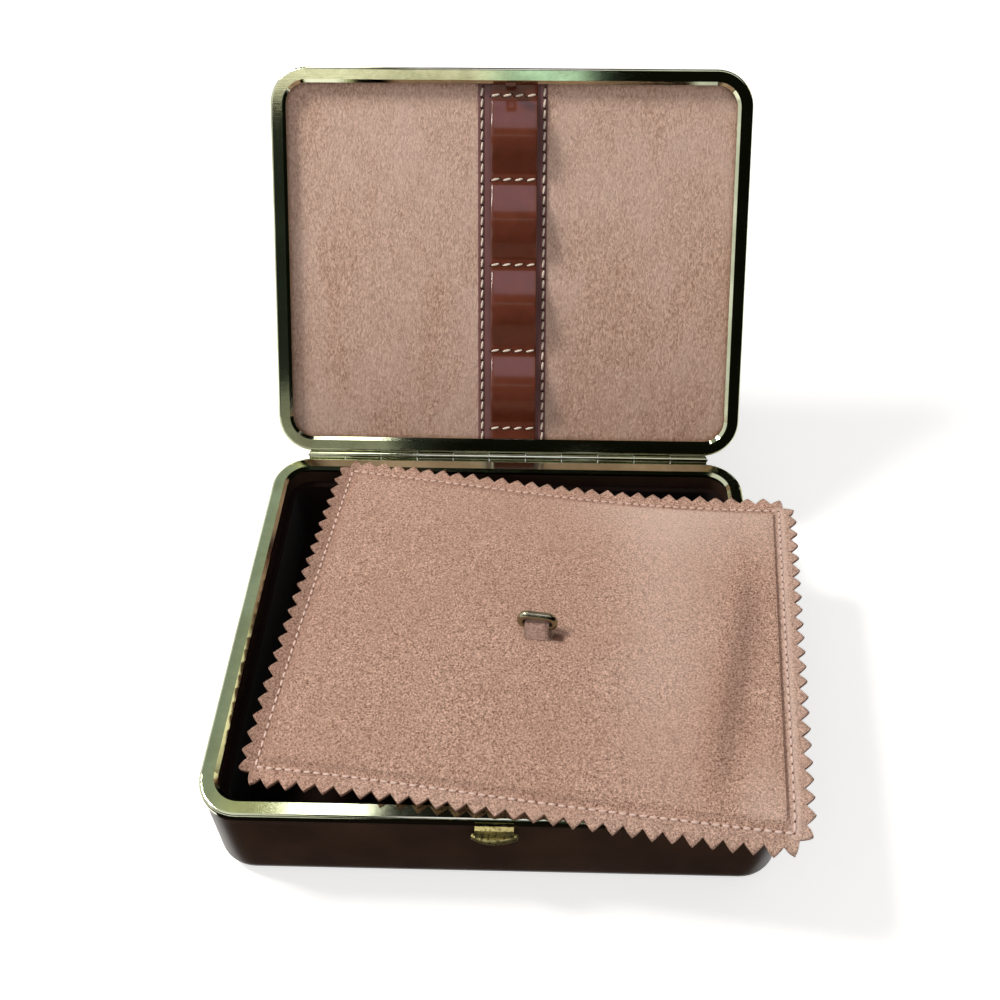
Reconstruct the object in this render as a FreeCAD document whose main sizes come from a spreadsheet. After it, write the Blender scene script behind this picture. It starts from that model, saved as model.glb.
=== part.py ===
"""Leather-covered jewellery case with brass frames, a knuckled hinge, a strap of loops in its lid
and a loose pinked pad that carries a D-ring on a tab.

Millimetres. X is right, Y is back, Z is up, and the origin is the centre of the underside.
The base and the lid are each drawn as a tray: z = 0 is the plane where the two meet, the tray opens
upwards, and its Placement puts it in the case. The lid stands open against its hinge stops.
"""
import FreeCAD, Part
import math
import os
import Sketcher
from FreeCAD import Placement, Rotation, Vector

SIZES = {
    # The case as a whole.
    "case_length": 190.5,
    "case_width": 154.5,
    "corner_radius": 14.5,
    "base_height": 42.0,
    "lid_height": 16.0,
    "open_angle": 123.5,
    # Brass frames: a channel that caps the wooden wall.
    "frame_width": 6.0,
    "frame_metal": 1.2,
    "frame_skirt": 2.8,
    "frame_inner_skirt": 2.2,
    "frame_bead": 1.1,
    "frame_bevel": 1.15,
    # Leather cover and wooden tray.
    "cover_setback": 0.5,
    "leather": 1.2,
    "cover_drop": 4.6,
    "cover_edge": 0.5,
    "base_rounding": 6.0,
    "lid_rounding": 4.0,
    "turn_in": 5.0,
    "sheet_gap": 0.15,
    "sheet_proud": 0.3,
    "wall_side_gap": 0.1,
    "wall_thickness": 3.0,
    "base_floor": 3.0,
    "lid_floor": 2.5,
    # Linings of the base.
    "band_thickness": 1.0,
    "band_height": 10.0,
    "lining_thickness": 2.3,
    "lining_drop": 8.5,
    "floor_lining": 1.6,
    "lining_gap": 0.05,
    # Panel and strap of the lid.
    "panel_drop": 4.75,
    "panel_suede": 1.0,
    "panel_board": 1.8,
    "panel_gap": 0.1,
    "strap_offset": 1.0,
    "strap_width": 27.7,
    "strap_thickness": 1.1,
    "loop_offset": 1.85,
    "loop_width": 18.3,
    "row_front": 10.2,
    "row_back": 10.4,
    "row_2_shift": -0.9,
    "row_3_shift": -0.55,
    "row_4_shift": 1.1,
    "row_flat": 2.2,
    "loop_apex": 7.1,
    "loop_crown": 17.0,
    "loop_foot": 2.5,
    # Hinge.
    "axis_setback": 1.6,
    "knuckle_pitch": 15.0,
    "base_knuckles": 6,
    "knuckle_gap": 0.2,
    "barrel_radius": 1.5,
    "pin_radius": 0.6,
    "pin_clearance": 0.05,
    "pin_overhang": 0.6,
    "leaf_thickness": 0.7,
    "leaf_drop": 6.5,
    "leaf_clearance": 0.2,
    "lug_reach": 3.1,
    "lug_width": 1.5,
    # Catch.
    "catch_width": 12.2,
    "catch_top": 1.9,
    "catch_depth": 1.6,
    "catch_hollow": 6.5,
    "catch_hollow_depth": 0.55,
    "catch_travel": 1.1,
    "catch_clearance": 0.15,
    "lip_width": 15.0,
    "lip_reach": 2.9,
    "lip_side": 1.0,
    "lip_height": 2.6,
    "lip_drop": 6.7,
    "lip_corner": 0.9,
    "lip_rounding": 0.7,
    "shank_width": 6.0,
    "shank_height": 2.2,
    "shank_drop": 5.7,
    "post_thickness": 1.3,
    "post_top": 1.3,
    "tongue_width": 4.0,
    "tongue_length": 4.7,
    "tongue_thickness": 1.2,
    "tongue_clearance": 0.3,
    "tongue_foot": 1.0,
    "window_width": 2.0,
    "window_height": 1.6,
    "window_drop": 1.6,
    "spring_length": 10.0,
    "spring_height": 1.6,
    "spring_metal": 0.25,
    "spring_seat": 2.2,
    # Loose pad.
    "pad_x": 14.36,
    "pad_y": -7.55,
    "pad_yaw": -6.8,
    "pad_length": 181.0,
    "pad_width": 140.5,
    "pad_suede": 1.2,
    "pad_board": 1.6,
    "pad_step": 8.8,
    "pad_board_gap": 0.4,
    "long_teeth": 29,
    "short_teeth": 23,
    "tooth_depth": 2.9,
    # Tab and D-ring of the pad.
    "ring_x": -1.4,
    "ring_y": -1.3,
    "ring_yaw": 0.0,
    "ring_width": 14.5,
    "ring_height": 7.4,
    "ring_wire": 1.4,
    "ring_corner": 2.6,
    "ring_foot": 1.5,
    "ring_lean": 6.0,
    "ring_rise": 2.6,
    "ring_clearance": 0.06,
    "tab_width": 8.6,
    "tab_leather": 1.0,
    "tab_thickness": 2.4,
    "tab_run": 3.7,
    "slit_gap": 0.1,
}

doc = FreeCAD.newDocument("jewellery_case")
sheet = doc.addObject("Spreadsheet::Sheet", "Sizes")
for row, (alias, value) in enumerate(SIZES.items(), start=1):
    sheet.set(f"A{row}", alias)
    sheet.set(f"B{row}", str(value))
    sheet.setAlias(f"B{row}", alias)
doc.recompute()

nodes = []


def size(expression):
    """The value of an expression in the sheet's names, as a plain number."""
    return float(sheet.evalExpression(expression))


def bind(target, **expressions):
    """Bind properties of an object to expressions; a double underscore stands for a dot."""
    for path, expression in expressions.items():
        target.setExpression(path.replace("__", "."), in_sheet(expression))


def in_sheet(expression):
    """The same expression with every name of the sheet written as Sizes.name."""
    words = []
    word = ""
    for letter in expression + " ":
        if letter.isalnum() or letter == "_":
            word += letter
            continue
        words.append(f"Sizes.{word}" if word in SIZES else word)
        words.append(letter)
        word = ""
    return "".join(words).strip()


# ---------------------------------------------------------------- placements

def in_base(target):
    """Set a tray-drawn piece into the base."""
    bind(target, Placement__Base__z="base_height")


def in_lid(target):
    """Set a tray-drawn piece into the open lid, turned about the hinge axis."""
    target.Placement = Placement(Vector(), Rotation(Vector(1, 0, 0), 90))
    reach = "(case_width / 2 + axis_setback)"
    bind(
        target,
        Placement__Base__y=f"{reach} * (1 - cos(open_angle * 1deg))",
        Placement__Base__z=f"base_height + {reach} * sin(open_angle * 1deg)",
        Placement__Rotation__Angle="180 - open_angle",
    )


def on_axis(target):
    """Set a piece drawn about the hinge axis into the case."""
    bind(target, Placement__Base__y="case_width / 2 + axis_setback", Placement__Base__z="base_height")


def on_axis_open(target):
    """Set a piece drawn about the hinge axis as the open lid carries it."""
    target.Placement = Placement(Vector(), Rotation(Vector(1, 0, 0), 90))
    on_axis(target)
    bind(target, Placement__Rotation__Angle="180 - open_angle")


def on_pad(target):
    """Set a piece drawn about the pad's centre, z = 0 at its underside, on the rim of the base."""
    target.Placement = Placement(Vector(), Rotation(Vector(0, 0, 1), -90))
    bind(
        target,
        Placement__Base__x="pad_x",
        Placement__Base__y="pad_y",
        Placement__Base__z="base_height",
        Placement__Rotation__Angle="pad_yaw",
    )


# ---------------------------------------------------------------- drawing helpers

def new_body(label, place):
    """A PartDesign body that is a node of the case."""
    body = doc.addObject("PartDesign::Body", label)
    body.Label = label
    place(body)
    nodes.append(body)
    return body


def new_feature(label, shape, placement):
    """A node whose shape comes from Part's own functions."""
    feature = doc.addObject("Part::Feature", label)
    feature.Label = label
    feature.Shape = shape
    placement(feature)
    nodes.append(feature)
    return feature


def new_sketch(body, name, role="XY_Plane", offset="0"):
    """A sketch on one of the body's origin planes, moved along the plane's normal."""
    sketch = body.newObject("Sketcher::SketchObject", f"{body.Label}_{name}")
    plane = next(item for item in body.Origin.OriginFeatures if item.Role == role)
    sketch.AttachmentSupport = [(plane, "")]
    sketch.MapMode = "FlatFace"
    bind(sketch, AttachmentOffset__Base__z=offset)
    return sketch


def constrain(sketch, kind, *where, name=None, expression=None):
    """Add a constraint and, when it has a size, bind it to the sheet."""
    if expression is None:
        sketch.addConstraint(Sketcher.Constraint(kind, *where))
        return
    index = sketch.addConstraint(Sketcher.Constraint(kind, *where, size(expression)))
    sketch.renameConstraint(index, name)
    sketch.setExpression(f"Constraints.{name}", in_sheet(expression))


def rounded_rectangle(sketch, inset, tag):
    """Outline of the case moved inwards by an inset, with its corners."""
    along = size(f"case_length / 2 - ({inset})")
    across = size(f"case_width / 2 - ({inset})")
    radius = size(f"corner_radius - ({inset})")
    first = sketch.GeometryCount
    turns = [(1, -1, -90), (1, 1, 0), (-1, 1, 90), (-1, -1, 180)]
    for number, (side_x, side_y, start) in enumerate(turns):
        centre = Vector(side_x * (along - radius), side_y * (across - radius), 0)
        circle = Part.Circle(centre, Vector(0, 0, 1), radius)
        begin = math.radians(start)
        sketch.addGeometry(Part.ArcOfCircle(circle, begin, begin + math.pi / 2), False)
        next_x, next_y, _ = turns[(number + 1) % 4]
        leave = centre + radius * Vector(math.cos(begin + math.pi / 2), math.sin(begin + math.pi / 2), 0)
        following = Vector(next_x * (along - radius), next_y * (across - radius), 0)
        arrive = following + (leave - centre)
        sketch.addGeometry(Part.LineSegment(leave, arrive), False)
    for number in range(4):
        arc = first + 2 * number
        line = arc + 1
        constrain(sketch, "Tangent", arc, 2, line, 1)
        constrain(sketch, "Tangent", line, 2, first + (2 * number + 2) % 8, 1)
        constrain(sketch, "Horizontal" if number % 2 else "Vertical", line)
    for number in range(1, 4):
        constrain(sketch, "Equal", first, first + 2 * number)
    constrain(sketch, "Symmetric", first, 3, first + 4, 3, -1, 1)
    right, left = first, first + 5
    constrain(sketch, "Radius", first, name=f"radius_{tag}", expression=f"corner_radius - ({inset})")
    constrain(sketch, "DistanceX", left, 1, right, 2, name=f"length_{tag}",
              expression=f"case_length - 2 * ({inset})")
    constrain(sketch, "DistanceY", first + 7, 2, first + 3, 1, name=f"width_{tag}",
              expression=f"case_width - 2 * ({inset})")


def rectangle(sketch, left, right, low, high):
    """A rectangle between two x and two y expressions."""
    x_0, x_1, y_0, y_1 = (size(side) for side in (left, right, low, high))
    corners = [Vector(x_0, y_0, 0), Vector(x_1, y_0, 0), Vector(x_1, y_1, 0), Vector(x_0, y_1, 0)]
    for number in range(4):
        sketch.addGeometry(Part.LineSegment(corners[number], corners[(number + 1) % 4]), False)
    for number in range(4):
        constrain(sketch, "Coincident", number, 2, (number + 1) % 4, 1)
        constrain(sketch, "Vertical" if number % 2 else "Horizontal", number)
    constrain(sketch, "DistanceX", -1, 1, 0, 1, name="left", expression=left)
    constrain(sketch, "DistanceX", -1, 1, 1, 1, name="right", expression=right)
    constrain(sketch, "DistanceY", -1, 1, 0, 1, name="low", expression=low)
    constrain(sketch, "DistanceY", -1, 1, 2, 1, name="high", expression=high)


def circle(sketch, radius, across, up):
    """A circle at two expressions."""
    centre = Vector(size(across), size(up), 0)
    sketch.addGeometry(Part.Circle(centre, Vector(0, 0, 1), size(radius)), False)
    constrain(sketch, "Radius", 0, name="radius", expression=radius)
    constrain(sketch, "DistanceX", -1, 1, 0, 3, name="across", expression=across)
    constrain(sketch, "DistanceY", -1, 1, 0, 3, name="up", expression=up)


def pad(body, sketch, length, back=False, middle=False):
    """Add material along the sketch's normal, against it or both ways."""
    feature = body.newObject("PartDesign::Pad", f"{sketch.Label}_pad")
    feature.Profile = sketch
    feature.Reversed = back
    feature.Midplane = middle
    bind(feature, Length=length)
    sketch.Visibility = False
    doc.recompute()
    return feature


def pocket(body, sketch, length, forward=False, middle=False):
    """Cut against the sketch's normal, along it or both ways, and make sure that it cuts."""
    before = body.Shape.Volume
    feature = body.newObject("PartDesign::Pocket", f"{sketch.Label}_pocket")
    feature.Profile = sketch
    feature.Reversed = forward
    feature.Midplane = middle
    bind(feature, Length=length)
    sketch.Visibility = False
    doc.recompute()
    if not body.Shape.Volume < before:
        raise RuntimeError(f"{feature.Label} cuts nothing")
    return feature


def dress(body, kind, edges, amount):
    """Fillet or chamfer the named edges of the body's tip."""
    base = body.Tip
    feature = body.newObject(f"PartDesign::{kind}", f"{body.Label}_{kind}_{len(body.Group)}")
    feature.Base = (base, edges)
    bind(feature, **{"Radius" if kind == "Fillet" else "Size": amount})
    doc.recompute()
    if "Invalid" in feature.State:
        raise RuntimeError(f"{feature.Label} could not be made")
    return feature


def flat_edges(body, height, inset=None):
    """Edges of the tip that lie at one local height and, if asked, on one inset of the outline."""
    shape = body.Tip.Shape
    found = []
    for number, edge in enumerate(shape.Edges, start=1):
        points = [vertex.Point for vertex in edge.Vertexes]
        if any(abs(point.z - height) > 1e-6 for point in points):
            continue
        if inset is not None:
            gaps = [
                min(size("case_length") / 2 - abs(point.x), size("case_width") / 2 - abs(point.y))
                for point in points
            ]
            if any(abs(gap - inset) > 1e-4 for gap in gaps):
                continue
        found.append(f"Edge{number}")
    return found


def slab(label, place, low, thickness, inset):
    """A flat layer inside the case's outline."""
    body = new_body(label, place)
    sketch = new_sketch(body, "outline", offset=low)
    rounded_rectangle(sketch, inset, "outer")
    pad(body, sketch, thickness)
    return body


def ring(label, place, low, height, outer, inner):
    """A band that runs round the case between two insets."""
    body = new_body(label, place)
    sketch = new_sketch(body, "outline", offset=low)
    rounded_rectangle(sketch, outer, "outer")
    rounded_rectangle(sketch, inner, "inner")
    pad(body, sketch, height)
    return body


# ---------------------------------------------------------------- frames, covers and trays

def frame(label, place):
    """Brass channel: a flat face with an outer bead and an inner bevel, and a skirt on each side."""
    body = ring(label, place, "-frame_skirt", "frame_skirt", "0", "frame_width")
    channel = new_sketch(body, "channel", offset="-frame_skirt")
    rounded_rectangle(channel, "frame_metal", "outer")
    rounded_rectangle(channel, "frame_width - frame_metal", "inner")
    pocket(body, channel, "frame_skirt - frame_metal", forward=True)
    trim = new_sketch(body, "trim", offset="-frame_skirt")
    rounded_rectangle(trim, "frame_width - frame_metal", "outer")
    rounded_rectangle(trim, "frame_width", "inner")
    pocket(body, trim, "frame_skirt - frame_inner_skirt", forward=True)
    dress(body, "Fillet", flat_edges(body, 0, 0), "frame_bead")
    dress(body, "Chamfer", flat_edges(body, 0, size("frame_width")), "frame_bevel")
    return body


def tray_bevel(rounding):
    """Bevel of the wood that keeps the leather at its full thickness where the cover is round."""
    return f"0.6 * ({rounding} - leather)"


def cover(label, place, depth, rounding):
    """Leather skin drawn over the outside of a tray."""
    body = slab(label, place, f"-({depth})", f"{depth} - cover_drop", "cover_setback")
    hollow = new_sketch(body, "hollow", offset="-cover_drop")
    rounded_rectangle(hollow, "cover_setback + leather", "outer")
    pocket(body, hollow, f"{depth} - cover_drop - leather")
    dress(body, "Chamfer", flat_edges(body, size(f"leather - ({depth})")), tray_bevel(rounding))
    dress(body, "Fillet", flat_edges(body, -size(depth)), rounding)
    rim = flat_edges(body, size("-cover_drop"), size("cover_setback"))
    dress(body, "Fillet", rim, "cover_edge")
    return body


def tray(label, place, depth, rounding, floor):
    """Wooden tray whose wall stands in the channel of the frame."""
    body = new_body(label, place)
    block = new_sketch(body, "block", offset=f"leather - ({depth})")
    rounded_rectangle(block, "cover_setback + leather", "outer")
    pad(body, block, f"{depth} - leather - frame_metal")
    dress(body, "Chamfer", flat_edges(body, size(f"leather - ({depth})")), tray_bevel(rounding))
    hollow = new_sketch(body, "hollow", offset="-frame_metal")
    rounded_rectangle(hollow, "cover_setback + leather + wall_thickness", "outer")
    pocket(body, hollow, f"{depth} - leather - frame_metal - {floor}")
    return body


def wall_slot(body):
    """Let the catch's shank through the front wall, with its clearance all round."""
    sketch = new_sketch(body, "slot", "XZ_Plane", "case_width / 2 - frame_width - lining_thickness")
    rectangle(
        sketch,
        "-shank_width / 2 - catch_clearance",
        "shank_width / 2 + catch_clearance",
        "-shank_drop - shank_height - catch_clearance",
        "-shank_drop + catch_clearance",
    )
    pocket(body, sketch, "frame_width + lining_thickness", forward=True)


wall_inset = "(cover_setback + leather + wall_thickness)"
lining_inset = f"({wall_inset} + band_thickness)"
base_depth = "(base_height - sheet_proud)"
floor_top = f"(leather + base_floor - {base_depth})"
catch_back = "(case_width / 2 - cover_setback + catch_travel + lining_gap)"

base_frame = frame("base_frame", in_base)
notch = new_sketch(base_frame, "notch", offset="-frame_skirt")
rectangle(
    notch,
    "-catch_width / 2 - 2 * catch_clearance",
    "catch_width / 2 + 2 * catch_clearance",
    "-case_width / 2 - frame_metal",
    "-case_width / 2 + frame_metal + wall_side_gap",
)
pocket(base_frame, notch, "frame_skirt - catch_top + catch_clearance", forward=True)

base_cover = cover("base_cover", in_base, base_depth, "base_rounding")
wall_slot(base_cover)
opening = new_sketch(base_cover, "opening", offset=f"leather - {base_depth}")
rounded_rectangle(opening, "cover_setback + base_rounding + turn_in", "outer")
pocket(base_cover, opening, "leather")

base_tray = tray("base_tray", in_base, base_depth, "base_rounding", "base_floor")
wall_slot(base_tray)
spring_level = "(-(frame_skirt + cover_drop) / 2)"
seat = new_sketch(base_tray, "spring_seat", "XZ_Plane", "case_width / 2 - cover_setback - leather")
rectangle(
    seat,
    "-spring_length / 2 - catch_clearance",
    "spring_length / 2 + catch_clearance",
    f"{spring_level} - spring_height / 2 - catch_clearance",
    f"{spring_level} + spring_height / 2 + catch_clearance",
)
pocket(base_tray, seat, "spring_seat")

slab("underside_sheet", in_base, "-base_height", "leather + sheet_proud",
     "cover_setback + base_rounding + turn_in + sheet_gap")
ring("inner_band", in_base, "-frame_inner_skirt - band_height", "band_height", wall_inset, lining_inset)
wall_slot(nodes[-1])
ring("wall_lining", in_base, f"{floor_top} + floor_lining",
     f"-lining_drop - {floor_top} - floor_lining",
     lining_inset, f"{lining_inset} + lining_thickness")
lining_edge = flat_edges(nodes[-1], -size("lining_drop"), size(f"{lining_inset} + lining_thickness"))
dress(nodes[-1], "Fillet", lining_edge, "lining_thickness / 2")
slab("floor_lining", in_base, floor_top, "floor_lining", f"{wall_inset} + lining_gap")

frame("lid_frame", in_lid)
cover("lid_cover", in_lid, "lid_height", "lid_rounding")
tray("lid_tray", in_lid, "lid_height", "lid_rounding", "lid_floor")
slab("lid_wadding", in_lid, "-lid_height + leather + lid_floor",
     "lid_height - leather - lid_floor - panel_drop - panel_suede - panel_board",
     f"{wall_inset} + panel_gap")
slab("panel_board", in_lid, "-panel_drop - panel_suede - panel_board", "panel_board",
     f"{wall_inset} + panel_gap")
slab("panel_suede", in_lid, "-panel_drop - panel_suede", "panel_suede", f"{wall_inset} + panel_gap")


# ---------------------------------------------------------------- strap of loops

strap = new_body("strap_base", in_lid)
strap_sketch = new_sketch(strap, "outline", offset="-panel_drop")
strap_end = f"(case_width / 2 - {wall_inset} - panel_gap)"
rectangle(strap_sketch, "strap_offset - strap_width / 2", "strap_offset + strap_width / 2",
          f"-{strap_end}", strap_end)
pad(strap, strap_sketch, "strap_thickness")


def rounded_path(points, radii, closed=False):
    """Lines through the points, with each corner rounded by its own radius."""
    edges = []
    count = len(points)
    inner = range(count) if closed else range(1, count - 1)
    cuts = {}
    for number in inner:
        corner = points[number]
        before = (points[number - 1] - corner).normalize()
        after = (points[(number + 1) % count] - corner).normalize()
        half = before.getAngle(after) / 2
        reach = radii[number] / math.tan(half)
        middle = corner + (before + after).normalize() * (radii[number] / math.sin(half) - radii[number])
        cuts[number] = (corner + before * reach, middle, corner + after * reach)
    for number in range(count if closed else count - 1):
        following = (number + 1) % count
        start = cuts[number][2] if number in cuts else points[number]
        end = cuts[following][0] if following in cuts else points[following]
        edges.append(Part.LineSegment(start, end).toShape())
        if following in cuts:
            edges.append(Part.Arc(*cuts[following]).toShape())
    return Part.Wire(edges)


def strap_loops():
    """One strip, sewn flat at five rows and bowed up between them into four loops."""
    low = size("-panel_drop + strap_thickness")
    thick = size("strap_thickness")
    flat = size("row_flat")
    first = size("case_width / 2 - row_front")
    pitch = (first - size("row_back - case_width / 2")) / 4
    shifts = [0, size("row_2_shift"), size("row_3_shift"), size("row_4_shift"), 0]
    rows = [first - number * pitch - shift for number, shift in enumerate(shifts)]
    left = size("loop_offset - loop_width / 2")

    def profile(lift, grow):
        """Side view of the strip's lower (grow = 0) or upper (grow = 1) face."""
        end = size(strap_end)
        points = [Vector(left, end, low + lift)]
        radii = [0]
        for near, far in zip(rows[:-1], rows[1:]):
            shift = grow * thick * math.tan(slope(near, far) / 2)
            points += [
                Vector(left, near - flat + shift, low + lift),
                Vector(left, (near + far) / 2, low + lift + size("loop_apex") + rise(near, far, grow)),
                Vector(left, far + flat - shift, low + lift),
            ]
            radii += [size("loop_foot") - grow * thick, size("loop_crown") + grow * thick,
                      size("loop_foot") - grow * thick]
        points.append(Vector(left, -end, low + lift))
        radii.append(0)
        return rounded_path(points, radii)

    def slope(near, far):
        return math.atan2(size("loop_apex"), (near - far) / 2 - flat)

    def rise(near, far, grow):
        angle = slope(near, far)
        return grow * thick * (1 / math.cos(angle) - 1)

    lower = profile(0, 0)
    upper = profile(thick, 1)
    ends = [
        Part.LineSegment(lower.OrderedVertexes[index].Point, upper.OrderedVertexes[index].Point).toShape()
        for index in (0, -1)
    ]
    outline = Part.Wire(Part.__sortEdges__(lower.Edges + upper.Edges + ends))
    return Part.Face(outline).extrude(Vector(size("loop_width"), 0, 0))


new_feature("strap_loops", strap_loops(), in_lid)


# ---------------------------------------------------------------- hinge

def hinge_leaf(label, place, side, first, knuckles):
    """Leaf with its knuckles, drawn about the hinge axis; side is -1 for the base and 1 for the lid."""
    body = new_body(label, place)
    inner = "axis_setback" if side > 0 else "-axis_setback"
    outer = "axis_setback - leaf_thickness" if side > 0 else "leaf_thickness - axis_setback"
    left, right = (inner, outer) if side < 0 else (outer, inner)
    plate = new_sketch(body, "plate", "YZ_Plane")
    rectangle(plate, left, right, "-leaf_drop", "-barrel_radius - leaf_clearance")
    span = "(2 * base_knuckles - 1) * knuckle_pitch - knuckle_gap"
    pad(body, plate, span, middle=True)
    start = f"-(base_knuckles - 0.5) * knuckle_pitch + knuckle_gap / 2 + {first} * knuckle_pitch"
    web = new_sketch(body, "web", "YZ_Plane", start)
    rectangle(web, left, right, "-barrel_radius - leaf_clearance - leaf_thickness / 2", "0")
    features = [pad(body, web, "knuckle_pitch - knuckle_gap")]
    barrel = new_sketch(body, "barrel", "YZ_Plane", start)
    circle(barrel, "barrel_radius", "0", "0")
    features.append(pad(body, barrel, "knuckle_pitch - knuckle_gap"))
    if side > 0:
        lug = new_sketch(body, "stop_lug", "YZ_Plane", start)
        lug.AttachmentOffset = Placement(Vector(), Rotation(Vector(0, 0, 1), -90))
        bind(lug, AttachmentOffset__Base__z=start, AttachmentOffset__Rotation__Angle="open_angle - 180")
        rectangle(lug, "leaf_thickness - axis_setback", "leaf_thickness - axis_setback + lug_width",
                  "-lug_reach", "-barrel_radius / 2")
        features.append(pad(body, lug, "knuckle_pitch - knuckle_gap"))
    pattern = body.newObject("PartDesign::LinearPattern", f"{label}_knuckles")
    pattern.Originals = features
    x_axis = next(item for item in body.Origin.OriginFeatures if item.Role == "X_Axis")
    pattern.Direction = (x_axis, [""])
    bind(pattern, Length=f"2 * knuckle_pitch * ({knuckles} - 1)", Occurrences=knuckles)
    body.Tip = pattern
    doc.recompute()
    bore = new_sketch(body, "bore", "YZ_Plane")
    circle(bore, "pin_radius + pin_clearance", "0", "0")
    pocket(body, bore, "2 * base_knuckles * knuckle_pitch", middle=True)
    return body


hinge_leaf("base_hinge_leaf", on_axis, -1, "0", "base_knuckles")
hinge_leaf("lid_hinge_leaf", on_axis_open, 1, "1", "base_knuckles - 1")

pin = new_body("hinge_pin", on_axis)
pin_sketch = new_sketch(pin, "section", "YZ_Plane")
circle(pin_sketch, "pin_radius", "0", "0")
pad(pin, pin_sketch, "(2 * base_knuckles - 1) * knuckle_pitch + 2 * pin_overhang", middle=True)
pin_rims = [f"Edge{number}" for number, edge in enumerate(pin.Tip.Shape.Edges, start=1) if edge.Closed]
dress(pin, "Chamfer", pin_rims, "pin_radius / 3")


# ---------------------------------------------------------------- catch

def is_arc(edge, radius):
    """Whether an edge lies on a circle of this radius."""
    return isinstance(edge.Curve, Part.Circle) and abs(edge.Curve.Radius - radius) < 1e-6


def catch_thumbpiece():
    """Hollow-fronted block with a flared lip, and the shank and post that it moves inside the case."""
    body = new_body("catch_thumbpiece", in_base)
    front = f"-{catch_back} - catch_depth"
    block = new_sketch(body, "block", "YZ_Plane")
    rectangle(block, front, f"-{catch_back}", "-lip_drop - lip_height", "-catch_top")
    pad(body, block, "catch_width", middle=True)
    hollow = new_sketch(body, "hollow", "YZ_Plane")
    circle(hollow, "catch_hollow", f"{front} + catch_hollow_depth - catch_hollow",
           "-(catch_top + lip_drop) / 2")
    pocket(body, hollow, "2 * catch_width", middle=True)
    lip = new_sketch(body, "lip", offset="-lip_drop - lip_height")
    half = size("lip_width / 2")
    back = -size(catch_back)
    side = back - size("lip_side")
    bow_rule = "((lip_width / 2)^2 + (lip_reach - lip_side)^2) / (2 * (lip_reach - lip_side))"
    bow = size(bow_rule)
    centre = Vector(0, back - size("lip_reach") + bow, 0)
    spread = math.asin(half / bow)
    front_arc = Part.Circle(centre, Vector(0, 0, 1), bow)
    lip.addGeometry(Part.ArcOfCircle(front_arc, -math.pi / 2 - spread, -math.pi / 2 + spread), False)
    corners = [Vector(half, side, 0), Vector(half, back, 0), Vector(-half, back, 0), Vector(-half, side, 0)]
    for start, end in zip(corners[:-1], corners[1:]):
        lip.addGeometry(Part.LineSegment(start, end), False)
    constrain(lip, "Coincident", 0, 2, 1, 1)
    constrain(lip, "Coincident", 1, 2, 2, 1)
    constrain(lip, "Coincident", 2, 2, 3, 1)
    constrain(lip, "Coincident", 3, 2, 0, 1)
    constrain(lip, "Vertical", 1)
    constrain(lip, "Horizontal", 2)
    constrain(lip, "Vertical", 3)
    constrain(lip, "Equal", 1, 3)
    constrain(lip, "PointOnObject", 0, 3, -2)
    constrain(lip, "DistanceX", 2, 2, 2, 1, name="width", expression="lip_width")
    constrain(lip, "DistanceY", 2, 1, -1, 1, name="back", expression=catch_back)
    constrain(lip, "DistanceY", 1, 1, 1, 2, name="side", expression="lip_side")
    constrain(lip, "Radius", 0, name="bow", expression=bow_rule)
    pad(body, lip, "lip_height")
    edges = list(enumerate(body.Tip.Shape.Edges, start=1))
    corners = [
        f"Edge{number}" for number, edge in edges
        if abs(edge.BoundBox.ZLength - size("lip_height")) < 1e-6
        and abs(edge.CenterOfMass.y - side) < 1e-6 and abs(abs(edge.CenterOfMass.x) - half) < 1e-6
    ]
    dress(body, "Fillet", corners, "lip_corner")
    edges = list(enumerate(body.Tip.Shape.Edges, start=1))
    dress(body, "Fillet", [f"Edge{number}" for number, edge in edges if is_arc(edge, bow)], "lip_rounding")
    shank = new_sketch(body, "shank", "XZ_Plane", catch_back)
    rectangle(shank, "-shank_width / 2", "shank_width / 2", "-shank_drop - shank_height", "-shank_drop")
    post_back = "(case_width / 2 - frame_width - tongue_clearance - tongue_thickness - post_thickness)"
    pad(body, shank, f"{catch_back} - {post_back} + catch_clearance", back=True)
    post = new_sketch(body, "post", "YZ_Plane")
    rectangle(post, f"-{post_back} - post_thickness + catch_clearance", f"-{post_back} + catch_clearance",
              "-shank_drop - shank_height", "-post_top")
    pad(body, post, "shank_width", middle=True)
    crown = [
        f"Edge{number}" for number, edge in enumerate(body.Tip.Shape.Edges, start=1)
        if all(abs(vertex.Z + size("post_top")) < 1e-6 for vertex in edge.Vertexes)
        and edge.Length > size("shank_width") - 1e-6
    ]
    dress(body, "Fillet", crown, "post_thickness / 2.5")
    return body


catch_thumbpiece()

tongue = new_body("lid_tongue", in_lid)
stem = new_sketch(tongue, "stem", "XZ_Plane", "-case_width / 2 + frame_width + tongue_clearance")
rectangle(stem, "-tongue_width / 2", "tongue_width / 2", "-frame_inner_skirt", "tongue_length")
pad(tongue, stem, "tongue_thickness")
foot = new_sketch(tongue, "foot", "XZ_Plane", "-case_width / 2 + frame_width")
rectangle(foot, "-tongue_width / 2", "tongue_width / 2", "-frame_inner_skirt",
          "tongue_foot - frame_inner_skirt")
pad(tongue, foot, "tongue_clearance")
window = new_sketch(tongue, "window", "XZ_Plane", "-case_width / 2 + frame_width")
rectangle(window, "-window_width / 2", "window_width / 2", "window_drop", "window_drop + window_height")
pocket(tongue, window, "2 * (tongue_clearance + tongue_thickness)", forward=True)


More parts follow.
